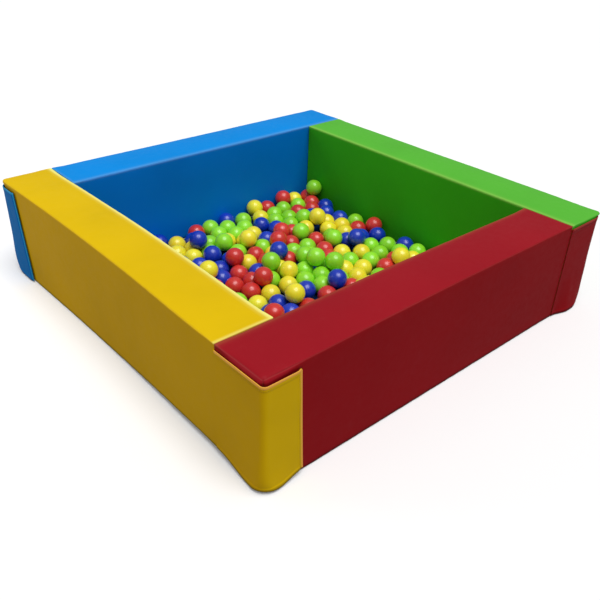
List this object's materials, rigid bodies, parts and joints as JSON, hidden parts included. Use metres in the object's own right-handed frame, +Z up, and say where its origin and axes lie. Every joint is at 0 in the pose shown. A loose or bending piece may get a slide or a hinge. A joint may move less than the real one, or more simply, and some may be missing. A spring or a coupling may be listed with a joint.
{
  "type": "ball pit",
  "caption": "Square soft-play ball pit: foam walls in coloured vinyl covers, butted in a pinwheel, with wrap-round corner flaps on hook-and-loop, a floor mat and loose plastic balls.",
  "frame": {"origin": "on the ground at the middle of the square pit", "axes": "+Z up; the red wall lies on the -Y side, the green wall on +X, the blue wall on +Y and the yellow wall on -X"},
  "size_m": [1.2118, 1.2118, 0.29],
  "materials": {
    "vinyl_red": "semi-matt coated vinyl with a fine grain",
    "vinyl_green": "semi-matt coated vinyl with a fine grain",
    "vinyl_blue": "semi-matt coated vinyl with a fine grain",
    "vinyl_yellow": "semi-matt coated vinyl with a fine grain",
    "ball_red": "glossy moulded plastic, lightly scuffed",
    "ball_green": "glossy moulded plastic, lightly scuffed",
    "ball_blue": "glossy moulded plastic, lightly scuffed",
    "ball_yellow": "glossy moulded plastic, lightly scuffed",
    "foam": "open-cell foam, matt",
    "hook_and_loop": "matt woven tape with hooks or loops",
    "zip_tape": "woven tape with a coil of teeth",
    "zip_metal": "plated metal",
    "mat_vinyl": "semi-matt vinyl sheet with a felt back"
  },
  "bodies": {
    "pit": {"red_cover": "vinyl_red", "red_foam_core": "foam", "red_zip": "zip_tape", "red_loop_strip": "hook_and_loop", "green_cover": "vinyl_green", "green_foam_core": "foam", "green_zip": "zip_tape", "green_loop_strip": "hook_and_loop", "blue_cover": "vinyl_blue", "blue_foam_core": "foam", "blue_zip": "zip_tape", "blue_loop_strip": "hook_and_loop", "yellow_cover": "vinyl_yellow", "yellow_foam_core": "foam", "yellow_zip": "zip_tape", "yellow_loop_strip": "hook_and_loop", "floor_mat": "mat_vinyl", "ball_cluster_01": "ball_red", "ball_cluster_02": "ball_yellow", "ball_cluster_03": "ball_green", "ball_cluster_04": "ball_blue", "ball_cluster_05": "ball_red", "ball_cluster_06": "ball_green", "ball_cluster_07": "ball_blue", "ball_cluster_08": "ball_yellow", "ball_cluster_09": "ball_red", "ball_cluster_10": "ball_blue", "ball_cluster_11": "ball_yellow", "ball_cluster_12": "ball_red", "ball_cluster_13": "ball_green", "ball_cluster_14": "ball_yellow", "ball_cluster_15": "ball_green", "ball_cluster_16": "ball_blue", "ball_cluster_17": "ball_yellow", "ball_cluster_18": "ball_red", "ball_cluster_19": "ball_blue", "ball_cluster_20": "ball_red"},
    "red_flap": {"red_corner_flap": "vinyl_red", "red_hook_strip": "hook_and_loop"},
    "green_flap": {"green_corner_flap": "vinyl_green", "green_hook_strip": "hook_and_loop"},
    "blue_flap": {"blue_corner_flap": "vinyl_blue", "blue_hook_strip": "hook_and_loop"},
    "yellow_flap": {"yellow_corner_flap": "vinyl_yellow", "yellow_hook_strip": "hook_and_loop"},
    "red_slider": {"red_zip_slider": "zip_metal"},
    "green_slider": {"green_zip_slider": "zip_metal"},
    "blue_slider": {"blue_zip_slider": "zip_metal"},
    "yellow_slider": {"yellow_zip_slider": "zip_metal"},
    "green_loose_ball_01": {"green_loose_ball_01": "ball_green"},
    "yellow_loose_ball_02": {"yellow_loose_ball_02": "ball_yellow"},
    "green_loose_ball_03": {"green_loose_ball_03": "ball_green"},
    "blue_loose_ball_04": {"blue_loose_ball_04": "ball_blue"},
    "yellow_loose_ball_05": {"yellow_loose_ball_05": "ball_yellow"},
    "red_loose_ball_06": {"red_loose_ball_06": "ball_red"},
    "green_loose_ball_07": {"green_loose_ball_07": "ball_green"},
    "yellow_loose_ball_08": {"yellow_loose_ball_08": "ball_yellow"},
    "blue_loose_ball_09": {"blue_loose_ball_09": "ball_blue"},
    "green_loose_ball_10": {"green_loose_ball_10": "ball_green"},
    "red_loose_ball_11": {"red_loose_ball_11": "ball_red"}
  },
  "joints": [
    {"name": "red_flap_seam", "type": "hinge", "parent": "pit", "child": "red_flap", "pos_m": [0.4498, -0.6013, 0.003], "axis": [0, 0, -1], "range_deg": [0, 150]},
    {"name": "green_flap_seam", "type": "hinge", "parent": "pit", "child": "green_flap", "pos_m": [0.6013, 0.4498, 0.003], "axis": [0, 0, -1], "range_deg": [0, 150]},
    {"name": "blue_flap_seam", "type": "hinge", "parent": "pit", "child": "blue_flap", "pos_m": [-0.4498, 0.6013, 0.003], "axis": [0, 0, -1], "range_deg": [0, 150]},
    {"name": "yellow_flap_seam", "type": "hinge", "parent": "pit", "child": "yellow_flap", "pos_m": [-0.6013, -0.4498, 0.003], "axis": [0, 0, -1], "range_deg": [0, 150]},
    {"name": "red_zip_run", "type": "slide", "parent": "pit", "child": "red_slider", "axis": [1, 0, 0], "range_m": [0, 0.88]},
    {"name": "green_zip_run", "type": "slide", "parent": "pit", "child": "green_slider", "axis": [0, 1, 0], "range_m": [0, 0.88]},
    {"name": "blue_zip_run", "type": "slide", "parent": "pit", "child": "blue_slider", "axis": [-1, 0, 0], "range_m": [0, 0.88]},
    {"name": "yellow_zip_run", "type": "slide", "parent": "pit", "child": "yellow_slider", "axis": [0, -1, 0], "range_m": [0, 0.88]},
    {"name": "green_loose_ball_01_lift", "type": "slide", "parent": "pit", "child": "green_loose_ball_01", "axis": [0, 0, 1], "range_m": [0, 0.3]},
    {"name": "yellow_loose_ball_02_lift", "type": "slide", "parent": "pit", "child": "yellow_loose_ball_02", "axis": [0, 0, 1], "range_m": [0, 0.3]},
    {"name": "green_loose_ball_03_lift", "type": "slide", "parent": "pit", "child": "green_loose_ball_03", "axis": [0, 0, 1], "range_m": [0, 0.3]},
    {"name": "blue_loose_ball_04_lift", "type": "slide", "parent": "pit", "child": "blue_loose_ball_04", "axis": [0, 0, 1], "range_m": [0, 0.3]},
    {"name": "yellow_loose_ball_05_lift", "type": "slide", "parent": "pit", "child": "yellow_loose_ball_05", "axis": [0, 0, 1], "range_m": [0, 0.3]},
    {"name": "red_loose_ball_06_lift", "type": "slide", "parent": "pit", "child": "red_loose_ball_06", "axis": [0, 0, 1], "range_m": [0, 0.3]},
    {"name": "green_loose_ball_07_lift", "type": "slide", "parent": "pit", "child": "green_loose_ball_07", "axis": [0, 0, 1], "range_m": [0, 0.3]},
    {"name": "yellow_loose_ball_08_lift", "type": "slide", "parent": "pit", "child": "yellow_loose_ball_08", "axis": [0, 0, 1], "range_m": [0, 0.3]},
    {"name": "blue_loose_ball_09_lift", "type": "slide", "parent": "pit", "child": "blue_loose_ball_09", "axis": [0, 0, 1], "range_m": [0, 0.3]},
    {"name": "green_loose_ball_10_lift", "type": "slide", "parent": "pit", "child": "green_loose_ball_10", "axis": [0, 0, 1], "range_m": [0, 0.3]},
    {"name": "red_loose_ball_11_lift", "type": "slide", "parent": "pit", "child": "red_loose_ball_11", "axis": [0, 0, 1], "range_m": [0, 0.3]}
  ]
}
